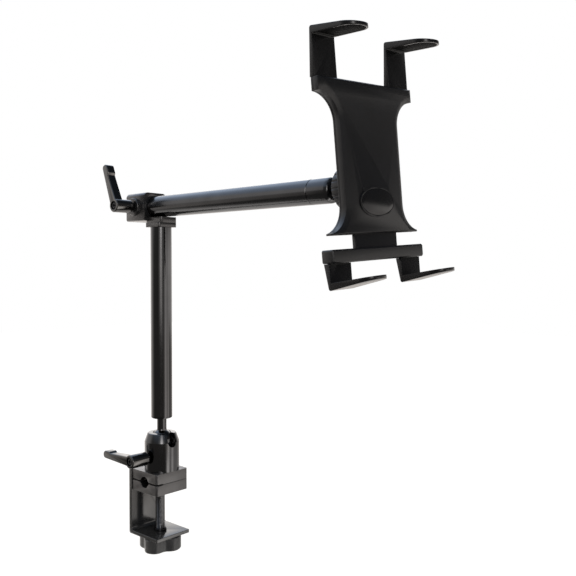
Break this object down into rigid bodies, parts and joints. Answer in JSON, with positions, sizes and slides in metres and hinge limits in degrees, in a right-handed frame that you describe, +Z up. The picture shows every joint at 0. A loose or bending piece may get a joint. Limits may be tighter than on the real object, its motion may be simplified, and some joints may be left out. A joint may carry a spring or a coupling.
{
  "type": "tablet clamp mount",
  "caption": "Desk-clamp tablet mount: ball-jointed upright pole, sliding cross arm with ratchet levers, and an hourglass holder with sprung hooked legs.",
  "frame": {"origin": "where the pole's axis meets the plane of the desk top, under the upper jaw, in the middle of the clamp", "axes": "+Z up along the pole, +X along the arm towards the tablet holder, -Y towards the side with the levers"},
  "size_m": [0.4188, 0.1442, 0.5545],
  "materials": {
    "painted": "satin black powder coat",
    "anodised": "satin black anodised",
    "steel": "blackened steel",
    "bronze": "dark oiled bronze",
    "lever_plastic": "glass-filled nylon",
    "case_plastic": "satin moulded ABS",
    "leg_plastic": "moulded nylon",
    "sleeve_plastic": "low-friction acetal",
    "pad": "matte rubber"
  },
  "bodies": {
    "base": {"clamp_bracket": "painted", "upper_jaw": "painted", "plate_screws": "steel", "screw_bush": "steel", "ball_housing": "anodised", "housing_plug": "anodised", "ball_seat": "bronze", "housing_screws": "steel"},
    "moving_jaw": {"lower_jaw": "painted", "jaw_snap_ring": "steel"},
    "knob_and_screw": {"clamp_screw": "steel", "clamp_knob": "lever_plastic", "knob_screw": "steel"},
    "base_lever": {"lower_lever": "lever_plastic", "lower_lever_stud": "steel", "lower_lever_screw": "steel", "lower_lever_spring": "steel"},
    "ball": {"ball_stem": "steel", "stem_nut": "steel"},
    "pole": {"pole_plug": "anodised", "pole_tube": "anodised", "pole_cap": "painted", "tee_collar": "painted", "tee_bolt": "steel", "collar_liner": "sleeve_plastic", "pressure_pad": "sleeve_plastic"},
    "tee_lever": {"upper_lever": "lever_plastic", "upper_lever_stud": "steel", "upper_lever_screw": "steel", "upper_lever_spring": "steel"},
    "arm_tail": {"arm_end_cap": "anodised"},
    "arm": {"arm_tube": "anodised", "arm_head": "anodised"},
    "nut": {"ring_nut": "case_plastic"},
    "holder": {"ball_socket": "case_plastic", "socket_screws": "steel", "holder_back": "case_plastic", "holder_front": "case_plastic", "badge": "leg_plastic", "case_screws": "steel", "jaw_springs": "steel", "upper_leg_left": "leg_plastic", "upper_leg_right": "leg_plastic", "upper_pad_left": "pad", "upper_pad_right": "pad", "upper_leg_screws": "steel"},
    "holder_jaw": {"jaw_slider": "case_plastic", "lower_leg_left": "leg_plastic", "lower_leg_right": "leg_plastic", "lower_pad_left": "pad", "lower_pad_right": "pad", "lower_leg_screws": "steel"}
  },
  "joints": [
    {"name": "jaw_slide", "type": "slide", "parent": "base", "child": "moving_jaw", "axis": [0, 0, -1], "range_m": [0, 0.045]},
    {"name": "screw_turn", "type": "hinge", "parent": "moving_jaw", "child": "knob_and_screw", "pos_m": [-0.00375, 0, -0.04], "axis": [0, 0, -1], "range_deg": [0, 8110]},
    {"name": "base_lever_turn", "type": "hinge", "parent": "base", "child": "base_lever", "pos_m": [0, -0.03475, 0.0295], "axis": [0, -1, 0], "range_deg": [-90, 90]},
    {"name": "ball_tilt", "type": "hinge", "parent": "base", "child": "ball", "pos_m": [0, 0, 0.0478], "axis": [0, 1, 0], "range_deg": [0, 90]},
    {"name": "pole_swivel", "type": "hinge", "parent": "ball", "child": "pole", "pos_m": [0, 0, 0.09], "axis": [0, 0, 1], "continuous": true},
    {"name": "tee_lever_turn", "type": "hinge", "parent": "pole", "child": "tee_lever", "pos_m": [-0.0285, -0.03475, 0.33], "axis": [0, -1, 0], "range_deg": [-90, 90]},
    {"name": "arm_slide", "type": "slide", "parent": "pole", "child": "arm_tail", "axis": [1, 0, 0], "range_m": [-0.19, 0]},
    {"name": "arm_roll", "type": "hinge", "parent": "arm_tail", "child": "arm", "pos_m": [0.05, 0, 0.33], "axis": [1, 0, 0], "continuous": true},
    {"name": "holder_tilt", "type": "hinge", "parent": "arm", "child": "nut", "pos_m": [0.285, 0, 0.33], "axis": [0.0854, 0.9963, 0], "range_deg": [-32, 32]},
    {"name": "holder_turn", "type": "hinge", "parent": "nut", "child": "holder", "pos_m": [0.285, 0, 0.33], "axis": [0.9955, -0.0853, 0.0419], "continuous": true},
    {"name": "holder_jaw_slide", "type": "slide", "parent": "holder", "child": "holder_jaw", "axis": [0.0474, 0.0633, -0.9969], "range_m": [-0.0105, 0.04], "stiffness_N_per_m": 150, "springref_m": -0.02}
  ],
  "couplings": [
    {"joint": "screw_turn", "follows": "jaw_slide", "rad_per_m": 3141.6}
  ]
}
